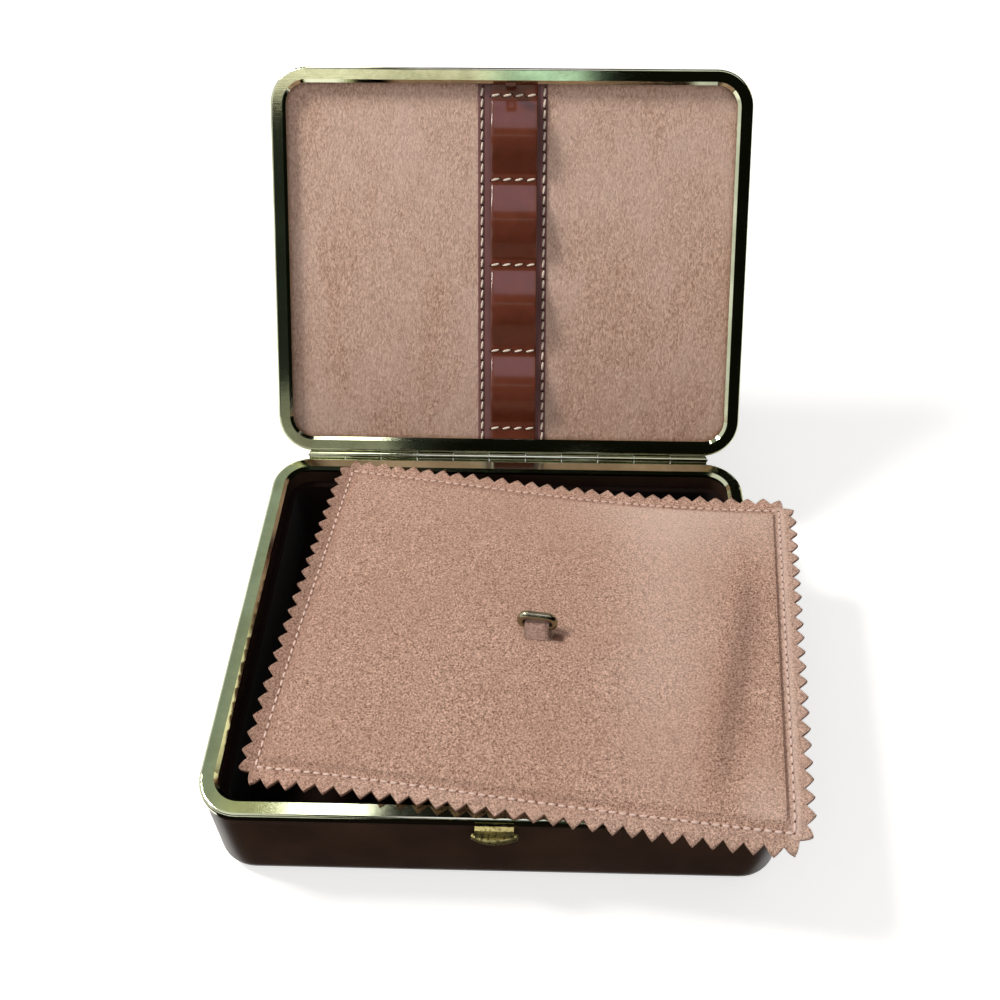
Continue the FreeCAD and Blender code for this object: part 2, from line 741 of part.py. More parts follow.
def catch_spring():
    """Bowed strip that pushes the thumb-piece out, its ends in the seat and its crown on the block."""
    half = size("spring_length / 2")
    metal = size("spring_metal")
    seat_bottom = -size("case_width / 2 - cover_setback - leather - spring_seat")
    crown = -size(catch_back)
    low = size(f"{spring_level} - spring_height / 2")
    faces = []
    for inner in (0, metal):
        left = Vector(-half + inner, seat_bottom, low)
        right = Vector(half - inner, seat_bottom, low)
        faces.append((left, Part.Arc(left, Vector(0, crown + inner, low), right).toShape(), right))
    (left_out, outer, right_out), (left_in, inner, right_in) = faces
    ends = [Part.LineSegment(left_out, left_in).toShape(), Part.LineSegment(right_in, right_out).toShape()]
    outline = Part.Wire(Part.__sortEdges__([outer, inner, *ends]))
    return Part.Face(outline).extrude(Vector(0, 0, size("spring_height")))


new_feature("catch_spring", catch_spring(), in_base)


# ---------------------------------------------------------------- loose pad

pad_height = "(2 * pad_suede + pad_board)"


def pinked_face(height):
    """Rectangle with zigzag edges, tips on its length and width, at one height."""
    depth = size("tooth_depth")
    along = size("pad_length / 2") - depth
    across = size("pad_width / 2") - depth
    sides = [
        (Vector(-along, -across), Vector(along, -across), int(size("long_teeth"))),
        (Vector(along, -across), Vector(along, across), int(size("short_teeth"))),
        (Vector(along, across), Vector(-along, across), int(size("long_teeth"))),
        (Vector(-along, across), Vector(-along, -across), int(size("short_teeth"))),
    ]
    points = []
    for start, end, teeth in sides:
        step = (end - start) / teeth
        outward = Vector(step.y, -step.x, 0).normalize() * depth
        for tooth in range(teeth):
            points.append(start + step * tooth)
            points.append(start + step * (tooth + 0.5) + outward)
    lifted = [point + Vector(0, 0, height) for point in points]
    return Part.Face(Part.makePolygon(lifted + lifted[:1]))


def pad_block(inset, low, height):
    """Rounded slab inside the pad's outline."""
    along = size("pad_length / 2") - inset
    across = size("pad_width / 2") - inset
    corners = [
        Vector(-along, -across, low), Vector(along, -across, low),
        Vector(along, across, low), Vector(-along, across, low),
    ]
    outline = rounded_path(corners, [size("tooth_depth")] * 4, closed=True)
    return Part.Face(outline).extrude(Vector(0, 0, height))


def in_pad_axes(shape):
    """The same shape, moved from the ring's own axes to the pad's."""
    moved = shape.copy()
    moved.Placement = Placement(
        Vector(size("ring_x"), size("ring_y"), size(f"{pad_height} + ring_rise")),
        Rotation(Vector(0, 0, 1), size("ring_yaw")),
    )
    return moved


def on_ring_bar(target):
    """Set a piece drawn about the ring's bar on the pad; the bar lies along x."""
    target.Placement = Placement(Vector(), Rotation(Vector(0, 0, 1), 90))
    turned = "pad_yaw * 1deg"
    bind(
        target,
        Placement__Base__x=f"pad_x + ring_x * cos({turned}) - ring_y * sin({turned})",
        Placement__Base__y=f"pad_y + ring_x * sin({turned}) + ring_y * cos({turned})",
        Placement__Base__z=f"base_height + {pad_height} + ring_rise",
        Placement__Rotation__Angle="pad_yaw + ring_yaw",
    )


def tab_solid(grow):
    """Doubled leather tab, folded round the bar of the ring, its foot on the board of the pad."""
    bore = size("ring_wire + ring_clearance")
    outer = bore + size("tab_leather")
    half = size("tab_thickness / 2")
    run = size("tab_run")
    rise = size("ring_rise")
    foot = size("pad_suede")
    left = -size("tab_width / 2") - grow
    slant = math.atan2(rise - half, run)
    along = Vector(0, math.cos(slant), math.sin(slant))
    normal = Vector(0, -math.sin(slant), math.cos(slant))
    eye = Vector(left, 0, 0)
    root = eye - along * run / math.cos(slant)
    flange = [
        root + Vector(0, -half - grow, -half - foot),
        root + Vector(0, half + grow, -half - foot),
        root + Vector(0, half + grow, -half * 0.2),
        eye - along * outer * 0.5 - normal * half,
        eye - along * outer * 0.5 + normal * half,
        root + normal * half,
        root + Vector(0, -half - grow, 0),
    ]
    width = Vector(size("tab_width") + 2 * grow, 0, 0)
    web = Part.Face(Part.makePolygon(flange + flange[:1])).extrude(width)
    eye_solid = Part.makeCylinder(outer, width.x, eye, Vector(1, 0, 0))
    hole = Part.makeCylinder(bore, width.x, eye, Vector(1, 0, 0))
    return web.fuse(eye_solid).cut(hole).removeSplitter()


suede = size("pad_suede")
board_height = size("pad_board")
step = size("pad_step")
board = pad_block(step + size("pad_board_gap"), suede, board_height)
lower_sheet = pinked_face(0).extrude(Vector(0, 0, suede))
top_sheet = pinked_face(suede).extrude(Vector(0, 0, suede))
top_sheet = top_sheet.fuse(pad_block(step, suede, suede + board_height))
top_sheet = top_sheet.cut(board).cut(in_pad_axes(tab_solid(size("slit_gap"))))

new_feature("pad_underside", lower_sheet, on_pad)
new_feature("pad_board", board, on_pad)
new_feature("pad_top", top_sheet.removeSplitter(), on_pad)
new_feature("ring_tab", tab_solid(0), on_ring_bar)


def d_ring():
    """Round wire bent to a D, its straight bar on the x axis, leaning back."""
    wire = size("ring_wire")
    half = size("ring_width / 2") - wire
    height = size("ring_height") - 2 * wire
    lean = math.radians(size("ring_lean"))
    top = Vector(0, math.sin(lean), math.cos(lean)) * height
    side = Vector(half, 0, 0)
    corners = [-side, side, side + top, top - side]
    foot, shoulder = size("ring_foot"), size("ring_corner")
    path = rounded_path(corners, [foot, foot, shoulder, shoulder], closed=True)
    start = path.Edges[0]
    section = Part.Wire(Part.makeCircle(wire, start.valueAt(start.FirstParameter),
                                        start.tangentAt(start.FirstParameter)))
    return path.makePipeShell([section], True, True)


new_feature("d_ring", d_ring(), on_ring_bar)

doc.recompute()
for item in doc.Objects:
    if any(flag in ("Invalid", "Error") for flag in item.State):
        raise RuntimeError(f"{item.Label} did not build: {item.State}")
os.makedirs("parts", exist_ok=True)
for node in nodes:
    if not node.Shape.isValid():
        raise RuntimeError(f"{node.Label} is not a valid shape")
    node.Shape.exportStep(f"parts/{node.Label}.step")
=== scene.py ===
import math

import bmesh
import bpy
import numpy as np
from mathutils import Matrix, Vector


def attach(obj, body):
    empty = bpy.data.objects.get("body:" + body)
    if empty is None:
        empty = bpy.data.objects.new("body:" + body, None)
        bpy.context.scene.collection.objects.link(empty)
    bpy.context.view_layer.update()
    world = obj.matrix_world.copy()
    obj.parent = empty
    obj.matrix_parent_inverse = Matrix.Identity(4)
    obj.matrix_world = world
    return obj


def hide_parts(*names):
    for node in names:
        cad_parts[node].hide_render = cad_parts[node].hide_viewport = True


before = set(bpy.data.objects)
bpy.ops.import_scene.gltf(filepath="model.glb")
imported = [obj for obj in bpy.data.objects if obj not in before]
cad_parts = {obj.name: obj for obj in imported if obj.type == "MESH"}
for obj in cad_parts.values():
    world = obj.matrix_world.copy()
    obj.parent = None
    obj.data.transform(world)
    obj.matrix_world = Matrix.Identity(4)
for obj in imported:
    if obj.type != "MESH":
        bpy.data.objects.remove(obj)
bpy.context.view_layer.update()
MM = 0.001               # the new pieces are laid out in millimetres

# ---------------------------------------------------------------- camera
# The open case is seen from in front and above, a little to the right of its middle,
# through a 38 mm lens that is shifted slightly off its axis.
camera = bpy.data.objects.new("camera", bpy.data.cameras.new("camera"))
bpy.context.collection.objects.link(camera)
bpy.context.scene.camera = camera
camera.matrix_world = (
    Matrix.Translation((0.009783, -0.227424, 0.361052))
    @ Matrix.Rotation(math.radians(1.564), 4, "Z")
    @ Matrix.Rotation(math.radians(46.646), 4, "X")
    @ Matrix.Rotation(math.radians(-0.293), 4, "Z")
)
camera.data.lens = 38.22
camera.data.sensor_width = 36
camera.data.shift_x = -0.0105
camera.data.shift_y = -0.0945
camera.data.clip_start = 0.01
bpy.context.scene.view_settings.view_transform = "Standard"


# ---------------------------------------------------------------- table top, lamps and room
# A plain pale table top in a pale room. A soft lamp stands high on the left and a broad weak
# one in front. Screens that only shiny surfaces show stand for the room's walls and windows.
def linear(colour):
    """A colour written as sRGB hex, as the linear red, green, blue and alpha that a shader takes."""
    parts = [int(colour[start:start + 2], 16) / 255 for start in (1, 3, 5)]
    return [x / 12.92 if x <= 0.04045 else ((x + 0.055) / 1.055) ** 2.4 for x in parts] + [1.0]


def add(tree, kind, inputs=None, links=None, **settings):
    """Adds one node: its settings, the values of its inputs, and the outputs linked to its inputs."""
    node = tree.nodes.new("ShaderNode" + kind)
    for name, value in settings.items():
        setattr(node, name, value)
    for name, value in (inputs or {}).items():
        node.inputs[name].default_value = value
    for name, source in (links or {}).items():
        tree.links.new(source, node.inputs[name])
    return node


def straight_look(tree):
    """One for a ray from the camera, or one mirrored by metal or passed by glass; nought for lamplight."""
    path = add(tree, "LightPath")
    seen = add(tree, "Math", links={0: path.outputs["Is Camera Ray"], 1: path.outputs["Is Glossy Ray"]},
               operation="MAXIMUM")
    seen = add(tree, "Math", links={0: seen.outputs[0], 1: path.outputs["Is Transmission Ray"]},
               operation="MAXIMUM")
    return seen.outputs[0]


def plain_mesh(name, points, faces, material=None):
    """A mesh object at the origin from an array of points (metres) and a list of faces."""
    mesh = bpy.data.meshes.new(name)
    mesh.from_pydata(np.asarray(points, float).reshape(-1, 3).tolist(), [], faces)
    mesh.update()
    piece = bpy.data.objects.new(name, mesh)
    bpy.context.collection.objects.link(piece)
    if material:
        mesh.materials.append(material)
    return piece


room_light = 0.34        # strength of the room's light on the object; seen directly it is 1, plain white
table_glow = 0.58        # added to the table top where it is seen or mirrored, not where it lights
room = bpy.data.worlds.new("pale_room")
bpy.context.scene.world = room
room.use_nodes = True
tree = room.node_tree
tree.nodes.clear()
seen = straight_look(tree)
strength = add(tree, "MapRange", {"To Min": room_light, "To Max": 1.0}, {"Value": seen})
light = add(tree, "Background", {"Color": linear("#ffffff")}, {"Strength": strength.outputs[0]})
add(tree, "OutputWorld", links={"Surface": light.outputs[0]})

table_top = bpy.data.materials.new("matt_white_card")
table_top.use_nodes = True
tree = table_top.node_tree
tree.nodes.clear()
seen = straight_look(tree)
card = add(tree, "BsdfDiffuse", {"Color": linear("#e6e4e0")})
paler = add(tree, "Math", {1: table_glow}, {0: seen}, operation="MULTIPLY")
glow = add(tree, "Emission", {"Color": linear("#ffffff")}, {"Strength": paler.outputs[0]})
both = add(tree, "AddShader", links={0: card.outputs[0], 1: glow.outputs[0]})
add(tree, "OutputMaterial", links={"Surface": both.outputs[0]})
floor = plain_mesh("table_top", [[-4, -4, 0], [4, -4, 0], [4, 4, 0], [-4, 4, 0]], [(0, 1, 2, 3)], table_top)


def lamp(name, place, aim, width, watts, colour="#ffffff", mirrored=True):
    """A square soft lamp at a place, turned towards another."""
    light = bpy.data.lights.new(name, "AREA")
    light.size = width
    light.energy = watts
    light.color = linear(colour)[:3]
    piece = bpy.data.objects.new(name, light)
    bpy.context.collection.objects.link(piece)
    piece.location = place
    piece.rotation_euler = (Vector(aim) - Vector(place)).to_track_quat("-Z", "Y").to_euler()
    piece.visible_glossy = mirrored


lamp("window_lamp", (-0.68, 0.18, 0.98), (0, 0.03, 0.05), 0.26, 11.0, "#fffdf8")
lamp("front_lamp", (0.1, -1.1, 0.95), (0, 0.05, 0.08), 1.2, 4.4, mirrored=False)


def screen(name, corners, shade, glow=1.0):
    """A flat plate that only shiny surfaces show: it lights nothing and throws no shadow."""
    paint = bpy.data.materials.new(name)
    paint.use_nodes = True
    tree = paint.node_tree
    tree.nodes.clear()
    shine = add(tree, "Emission", {"Color": linear(shade), "Strength": glow})
    add(tree, "OutputMaterial", links={"Surface": shine.outputs[0]})
    piece = plain_mesh(name, corners, [(0, 1, 2, 3)], paint)
    piece.visible_camera = False
    piece.visible_diffuse = False
    piece.visible_shadow = False
    piece.visible_transmission = False


def ceiling(name, left, right, near, far, height, shade, glow=1.0):
    """A level screen: its left and right ends, its near and far edges and its height, in metres."""
    screen(name, [[left, near, height], [right, near, height], [right, far, height], [left, far, height]],
           shade, glow)


def upright(name, left, right, low, high, depth, shade, glow=1.0):
    """An upright screen across the room: its left and right ends, its foot, its top and its depth."""
    screen(name, [[left, depth, low], [right, depth, low], [right, depth, high], [left, depth, high]],
           shade, glow)


dark_wall, dim_ceiling = "#10110a", "#23241b"
# In front of the case: a dark carpet and walls, mirrored by leather, strap and lid frame, with
# a warm and a minty window whose light runs along the top of the lid frame.
ceiling("near_carpet", -0.3, 1.3, -1.6, -0.0777, 0.0015, "#16110e")
upright("front_wall", 0.09, 1.4, -0.1, 1.8, -0.9, dark_wall)
upright("warm_window", -0.48, -0.06, 0.95, 1.14, -0.86, "#fff9e6", 1.4)
upright("mint_window", -0.06, 0.09, 0.96, 1.14, -0.86, "#dcffec", 1.2)
upright("upper_front_wall", -0.3, 0.09, 1.14, 1.6, -0.86, "#1b1c14")
upright("skirting", -0.34, -0.17, 0.35, 0.46, -0.79, "#a5a696")
ceiling("front_ceiling", -0.3, 1.3, -1.6, -0.5, 1.55, dim_ceiling)
upright("left_front_wall", -1.4, -0.12, 0.36, 0.97, -0.8, "#2b302b")
upright("low_front_wall", -0.12, 0.09, 0.36, 0.96, -0.8, dark_wall)
upright("near_sill", -0.17, 0.07, -0.1, 0.45, -0.85, dark_wall)
# Overhead: a lavender skylight for the loops, beams for the left of the base frame, and a
# bright pane that burns white on its front.
ceiling("sky_window", -0.2, 0.12, -0.45, 0.35, 1.5, "#d8d2ea", 2.0)
ceiling("middle_ceiling", -0.36, -0.2, -0.5, 0.42, 1.5, dim_ceiling)
ceiling("left_beam", -1.7, -0.56, 0.42, 1.7, 1.6, "#9faca4")
ceiling("olive_beam", -0.56, -0.42, 0.42, 1.7, 1.6, "#ccce9f")
ceiling("bright_pane", -0.415, -0.295, 0.42, 1.2, 1.6, "#fffffa", 7.0)
ceiling("dark_ceiling", -0.295, 1.3, 0.42, 1.7, 1.6, dark_wall)
# On the right and behind: dark walls, and a pane that lights the inner bead of the base frame.
screen("right_pane", [[0.98, 0.5, 0.2], [0.98, 1.2, 0.2], [0.98, 1.2, 0.62], [0.98, 0.5, 0.62]],
       "#fff3cf", 1.4)
screen("right_wall", [[1.0, -0.9, 0.02], [1.0, 1.4, 0.02], [1.0, 1.4, 1.4], [1.0, -0.9, 1.4]], dark_wall)
upright("back_wall", -0.15, 1.0, 0.02, 1.0, 1.4, dark_wall)


# ---------------------------------------------------------------- wooden trays
# Two shallow trays of birch, the body of the case and of its lid. Leather and lining hide
# nearly all of them; what shows is planed, pale wood with fine straight grain.
def start_material(name, **shader):
    """An empty material with one Principled shader; returns it with its tree, shader and place in metres."""
    material = bpy.data.materials.new(name)
    material.use_nodes = True
    tree = material.node_tree
    tree.nodes.clear()
    principled = add(tree, "BsdfPrincipled", {key.replace("_", " "): value for key, value in shader.items()})
    add(tree, "OutputMaterial", links={"Surface": principled.outputs[0]})
    return material, tree, principled, add(tree, "TexCoord").outputs["Object"]


def dress(material, *nodes):
    """Gives CAD nodes, whose shape stays, their finish."""
    for node in nodes:
        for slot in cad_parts[node].material_slots:
            slot.material = material


# Here and below, a pattern's Scale is a thousand over the size of its grain in millimetres. A
# Mix node set to colours has its share at input 0, its colours at 6 and 7, its result at output 2.
planed_birch, tree, wood, place = start_material("planed_birch", Roughness=0.6)
along = add(tree, "Mapping", {"Scale": (1, 14, 14)}, {"Vector": place})
grain = add(tree, "TexNoise", {"Scale": 1000 / 11.1, "Detail": 5.0}, {"Vector": along.outputs[0]})
colour = add(tree, "Mix", {6: linear("#c9a877"), 7: linear("#9c7a4e")}, {0: grain.outputs[0]},
             data_type="RGBA")
ridges = add(tree, "Bump", {"Strength": 0.3, "Distance": 0.2 * MM}, {"Height": grain.outputs[0]})
tree.links.new(colour.outputs[2], wood.inputs["Base Color"])
tree.links.new(ridges.outputs[0], wood.inputs["Normal"])
dress(planed_birch, "base_tray", "lid_tray")

# ---------------------------------------------------------------- leather covers
# Smooth calf, dyed a very dark brown and waxed, glued over the outside of both trays and
# turned in under the frames; the band inside the base and the underside are the same hide.
waxed_calf, tree, calf, place = start_material("waxed_dark_calf", Roughness=0.3, Specular_IOR_Level=0.12)
pores = add(tree, "TexVoronoi", {"Scale": 1000 / 0.625}, {"Vector": place})
hide = add(tree, "TexNoise", {"Scale": 1000 / 14.3, "Detail": 4.0}, {"Vector": place})
waves = add(tree, "TexNoise", {"Scale": 1000 / 38.5, "Detail": 2.0}, {"Vector": place})
colour = add(tree, "Mix", {6: linear("#281a13"), 7: linear("#443228")}, {0: hide.outputs[0]},
             data_type="RGBA")
fine = add(tree, "Bump", {"Strength": 0.12, "Distance": 0.1 * MM}, {"Height": pores.outputs["Distance"]})
slow = add(tree, "Bump", {"Strength": 0.35, "Distance": 2 * MM},
           {"Height": waves.outputs[0], "Normal": fine.outputs[0]})
tree.links.new(colour.outputs[2], calf.inputs["Base Color"])
tree.links.new(slow.outputs[0], calf.inputs["Normal"])
dress(waxed_calf, "base_cover", "lid_cover", "inner_band", "underside_sheet")

# ---------------------------------------------------------------- lining of the base
# Brushed cotton velvet, glued to boards that line the walls and floor, coloured near-black,
# as dark as the shaded inside of the base.
dark_velvet, tree, velvet, place = start_material(
    "dark_cotton_velvet", Roughness=0.95, Specular_IOR_Level=0.1, Sheen_Weight=0.05, Sheen_Roughness=0.5)
pile = add(tree, "TexNoise", {"Scale": 1000 / 0.667, "Detail": 2.0}, {"Vector": place})
brushed = add(tree, "TexNoise", {"Scale": 1000 / 25, "Detail": 3.0}, {"Vector": place})
colour = add(tree, "Mix", {6: linear("#0d0705"), 7: linear("#23140e")}, {0: brushed.outputs[0]},
             data_type="RGBA")
nap = add(tree, "Bump", {"Strength": 0.5, "Distance": 0.3 * MM}, {"Height": pile.outputs[0]})
tree.links.new(colour.outputs[2], velvet.inputs["Base Color"])
tree.links.new(nap.outputs[0], velvet.inputs["Normal"])
dress(dark_velvet, "wall_lining", "floor_lining")

# ---------------------------------------------------------------- brass frames
# Drawn brass rims round the mouths of base and lid, polished and lacquered, now with fine
# scratches and faint olive tarnish.
polished_brass, tree, brass, place = start_material("polished_brass", Metallic=1.0)
tarnish = add(tree, "TexNoise", {"Scale": 1000 / 22.2, "Detail": 5.0, "Roughness": 0.6}, {"Vector": place})
cloudy = add(tree, "MapRange", {"From Min": 0.35, "From Max": 0.7}, {"Value": tarnish.outputs[0]})
colour = add(tree, "Mix", {6: linear("#d2d6b8"), 7: linear("#abad90")}, {0: cloudy.outputs[0]},
             data_type="RGBA")
rough = add(tree, "MapRange", {"From Min": 0.3, "From Max": 0.75, "To Min": 0.03, "To Max": 0.1},
            {"Value": tarnish.outputs[0]})
turned = add(tree, "Mapping", {"Rotation": (0, 0, 0.5), "Scale": (1, 22, 22)}, {"Vector": place})
scratches = add(tree, "TexNoise", {"Scale": 1000 / 6.25, "Detail": 6.0, "Roughness": 0.7},
                {"Vector": turned.outputs[0]})
worn = add(tree, "Bump", {"Strength": 0.06, "Distance": 0.12 * MM}, {"Height": scratches.outputs[0]})
tree.links.new(colour.outputs[2], brass.inputs["Base Color"])
tree.links.new(rough.outputs[0], brass.inputs["Roughness"])
tree.links.new(worn.outputs[0], brass.inputs["Normal"])
dress(polished_brass, "base_frame", "lid_frame", "base_hinge_leaf", "lid_hinge_leaf")

# ---------------------------------------------------------------- catch
# The thumbpiece is of the same brass, but its lacquer has worn off: yellower, with dark specks.
rubbed_brass, tree, brass, place = start_material("rubbed_yellow_brass", Metallic=0.9, Roughness=0.33)
specks = add(tree, "TexNoise", {"Scale": 1000 / 1.11, "Detail": 4.0}, {"Vector": place})
specked = add(tree, "MapRange", {"From Min": 0.5, "From Max": 0.68}, {"Value": specks.outputs[0]})
colour = add(tree, "Mix", {6: linear("#d2c584"), 7: linear("#5a4d2c")}, {0: specked.outputs[0]},
             data_type="RGBA")
pits = add(tree, "Bump", {"Strength": 0.2, "Distance": 0.1 * MM}, {"Height": specks.outputs[0]})
tree.links.new(colour.outputs[2], brass.inputs["Base Color"])
tree.links.new(pits.outputs[0], brass.inputs["Normal"])
dress(rubbed_brass, "catch_thumbpiece")

# ---------------------------------------------------------------- hinge pin and catch spring
# Bright drawn steel wire and a bowed strip of spring steel.
drawn_steel, tree, steel, place = start_material("drawn_steel", Metallic=1.0, Roughness=0.3)
lines = add(tree, "Mapping", {"Scale": (1, 30, 30)}, {"Vector": place})
drawn = add(tree, "TexNoise", {"Scale": 1000 / 5, "Detail": 3.0}, {"Vector": lines.outputs[0]})
colour = add(tree, "Mix", {6: linear("#b9b8b4"), 7: linear("#8f8e8a")}, {0: drawn.outputs[0]},
             data_type="RGBA")
fine = add(tree, "Bump", {"Strength": 0.1, "Distance": 0.1 * MM}, {"Height": drawn.outputs[0]})
tree.links.new(colour.outputs[2], steel.inputs["Base Color"])
tree.links.new(fine.outputs[0], steel.inputs["Normal"])
dress(drawn_steel, "hinge_pin", "catch_spring")

# ---------------------------------------------------------------- tongue of the lid
# A browned steel tongue under the front rim of the lid, which the catch holds by its window.
browned_steel, tree, steel, place = start_material("browned_steel", Metallic=0.6, Roughness=0.5)
browning = add(tree, "TexNoise", {"Scale": 1000 / 3.33, "Detail": 4.0}, {"Vector": place})
colour = add(tree, "Mix", {6: linear("#6b4538"), 7: linear("#54352b")}, {0: browning.outputs[0]},
             data_type="RGBA")
tree.links.new(colour.outputs[2], steel.inputs["Base Color"])
dress(browned_steel, "lid_tongue")

# ---------------------------------------------------------------- boards and wadding in the lid and pad
# Grey pasteboard and a thin layer of cotton wadding. Neither shows while the case is whole.
pasteboard, tree, pulp, place = start_material("grey_pasteboard", Roughness=0.9)
specks = add(tree, "TexNoise", {"Scale": 1000 / 1.11, "Detail": 4.0}, {"Vector": place})
colour = add(tree, "Mix", {6: linear("#a39a8c"), 7: linear("#847b6e")}, {0: specks.outputs[0]},
             data_type="RGBA")
tree.links.new(colour.outputs[2], pulp.inputs["Base Color"])
dress(pasteboard, "panel_board", "pad_board")

cotton_wadding, tree, fluff, place = start_material("cotton_wadding", Roughness=1.0, Sheen_Weight=0.3)
tufts = add(tree, "TexNoise", {"Scale": 1000 / 2, "Detail": 6.0}, {"Vector": place})
colour = add(tree, "Mix", {6: linear("#efeae0"), 7: linear("#d8d0c2")}, {0: tufts.outputs[0]},
             data_type="RGBA")
loft = add(tree, "Bump", {"Strength": 0.8, "Distance": 0.6 * MM}, {"Height": tufts.outputs[0]})
tree.links.new(colour.outputs[2], fluff.inputs["Base Color"])
tree.links.new(loft.outputs[0], fluff.inputs["Normal"])
dress(cotton_wadding, "lid_wadding")


# ---------------------------------------------------------------- suede panel of the lid
# Split hide with a short brushed nap, pasted over a board and pressed into the lid under
# the frame. Its edges roll down to the frame, and hands have left paler and darker strokes.
open_angle = 123.5       # degrees from shut
lid_turn = math.radians(180 - open_angle)
lid_rise = np.array([0, 122.37, 107.75])       # middle of the open lid's mouth, in millimetres


def in_lid(points):
    """Points in millimetres on the lid, front edge at +y and mouth at z = 0, to their place in metres."""
    x, y, z = np.moveaxis(np.asarray(points, float), -1, 0)
    turned = [x, y * math.cos(lid_turn) - z * math.sin(lid_turn),
              y * math.sin(lid_turn) + z * math.cos(lid_turn)]
    return (np.stack(turned, -1) + lid_rise) * MM


def rounded_rectangle(half_x, half_y, radius, per_corner=12, per_side=24):
    """Points round a rectangle with quarter-circle corners, anticlockwise, evenly spaced on each side."""
    turn = np.linspace(0, math.pi / 2, per_corner)
    corner = np.stack([np.cos(turn), np.sin(turn)], -1) * radius
    middle = np.array([half_x - radius, half_y - radius])
    quarter_turn = np.array([[0, -1], [1, 0]])
    arcs = [corner @ np.linalg.matrix_power(quarter_turn, number).T + middle * sign
            for number, sign in enumerate([(1, 1), (-1, 1), (-1, -1), (1, -1)])]
    share = np.linspace(0, 1, per_side + 2)[1:-1, None]
    outline = []
    for arc, following in zip(arcs, arcs[1:] + arcs[:1]):
        outline += [arc, arc[-1] * (1 - share) + following[0] * share]
    return np.concatenate(outline)


def ring_faces(rings, around):
    """Faces between closed rings of points, with one face over the first ring and one over the last."""
    ring, step = np.meshgrid(np.arange(rings - 1), np.arange(around), indexing="ij")
    after = (step + 1) % around
    quads = np.stack([ring * around + step, ring * around + after,
                      (ring + 1) * around + after, (ring + 1) * around + step], -1)
    first = list(range(around))[::-1]
    last = list(range((rings - 1) * around, rings * around))
    return quads.reshape(-1, 4).tolist() + [first, last]


def smooth(piece, angle=40):
    """Shades a piece smooth except over edges sharper than an angle."""
    piece.data.shade_smooth()
    piece.data.set_sharp_from_angle(angle=math.radians(angle))
    return piece


def brushed_suede(name, pale, middle, deep, nap_mm, stroke_mm, patchy, lean=(1, 1, 1)):
    """Suede: short fibres nap_mm long in close colours, under soft strokes stroke_mm wide that hide them
    by up to patchy. The piece's own "brushed" attribute paints it paler above nought and darker below:
    painted shade, painted shadow and uneven tone."""
    material, tree, hide, place = start_material(
        name, Roughness=0.95, Specular_IOR_Level=0.12, Sheen_Weight=0.08, Sheen_Roughness=0.45,
        Sheen_Tint=linear(pale))
    combed = add(tree, "Mapping", {"Scale": lean}, {"Vector": place})
    fibres = add(tree, "TexNoise", {"Scale": 1000 / nap_mm, "Detail": 2.0, "Roughness": 0.6,
                                    "Distortion": 1.0}, {"Vector": combed.outputs[0]})
    strokes = add(tree, "TexNoise", {"Scale": 1000 / stroke_mm, "Detail": 4.0, "Roughness": 0.6,
                                     "Distortion": 0.8}, {"Vector": combed.outputs[0]})
    spread = add(tree, "MapRange", {"From Min": 0.36, "From Max": 0.64}, {"Value": fibres.outputs[0]})
    patches = add(tree, "MapRange", {"From Min": 0.4, "From Max": 0.62, "To Max": patchy},
                  {"Value": strokes.outputs[0]})
    nap = add(tree, "Mix", {6: linear(pale), 7: linear(deep)}, {0: spread.outputs[0]}, data_type="RGBA")
    worn = add(tree, "Mix", {7: linear(middle)}, {0: patches.outputs[0], 6: nap.outputs[2]}, data_type="RGBA")
    # The attribute mixes to pale above nought, to dark below: painted shade and shadow, and uneven tone.
    tone_and_shade = add(tree, "Attribute", attribute_name="brushed")
    over = add(tree, "Mix", {7: linear("#efd2c3")}, {0: tone_and_shade.outputs["Fac"], 6: worn.outputs[2]},
               data_type="RGBA")
    darker_share = add(tree, "Math", {1: -1.0}, {0: tone_and_shade.outputs["Fac"]}, operation="MULTIPLY", use_clamp=True)
    colour = add(tree, "Mix", {7: linear("#5f4236")}, {0: darker_share.outputs[0], 6: over.outputs[2]},
                 data_type="RGBA")
    tree.links.new(colour.outputs[2], hide.inputs["Base Color"])
    raised = add(tree, "Bump", {"Strength": 1.0, "Distance": 0.6 * MM}, {"Height": fibres.outputs[0]})
    tree.links.new(raised.outputs[0], hide.inputs["Normal"])
    return material


def lay_tone_and_shade(piece, amount):
    """Writes the "brushed" attribute of a suede piece, one number for each point: uneven tone and painted
    shade.
    """
    nap = piece.data.attributes.new("brushed", "FLOAT", "POINT")
    nap.data.foreach_set("value", np.asarray(amount, float).ravel())


# Tan suede, combed up and down: pale and deep fibres under soft strokes of a wiped pale colour.
lid_suede = brushed_suede("brushed_tan_suede", "#d8b5a2", "#d6baac", "#a07e6b",
                          nap_mm=0.7, stroke_mm=26, patchy=0.45, lean=(1, 0.45, 0.45))
panel_half, panel_corner = np.array([90.4, 72.45]), 10.2
panel_face = -4.75       # below the mouth of the lid
# Its face from the tucked edge to the middle: how far in from the outline, and at what height.
inset = np.array([0.5, 0.15, 0, 0.05, 0.25, 0.6, 1.2, 2.2, 4, 7, 12, 20, 30, 42, 55, 66])
level = panel_face + np.array([-1.0, -0.95, -0.7, -0.5, -0.28, -0.1, 0, 0.06, 0.12, 0.16, 0.18,
                               0.2, 0.2, 0.2, 0.2, 0.2])
rings = []
for depth, height in zip(inset, level):
    outline = rounded_rectangle(*(panel_half - depth), max(panel_corner - depth, 1.5))
    rings.append(np.column_stack([outline, np.full(len(outline), height)]))
panel = plain_mesh("suede_panel", in_lid(np.array(rings)), ring_faces(len(rings), len(rings[0])), lid_suede)
# Painted shade: the panel is painted darker towards the hinge, where less light reaches it.
below = np.clip((0.25 - np.array(rings)[..., 1] / panel_half[1]) / 1.25, 0, 1)   # 1 at the hinge side
lay_tone_and_shade(panel, 0.06 - 0.26 * below ** 1.3)
smooth(panel)
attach(panel, "lid")
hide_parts("panel_suede")
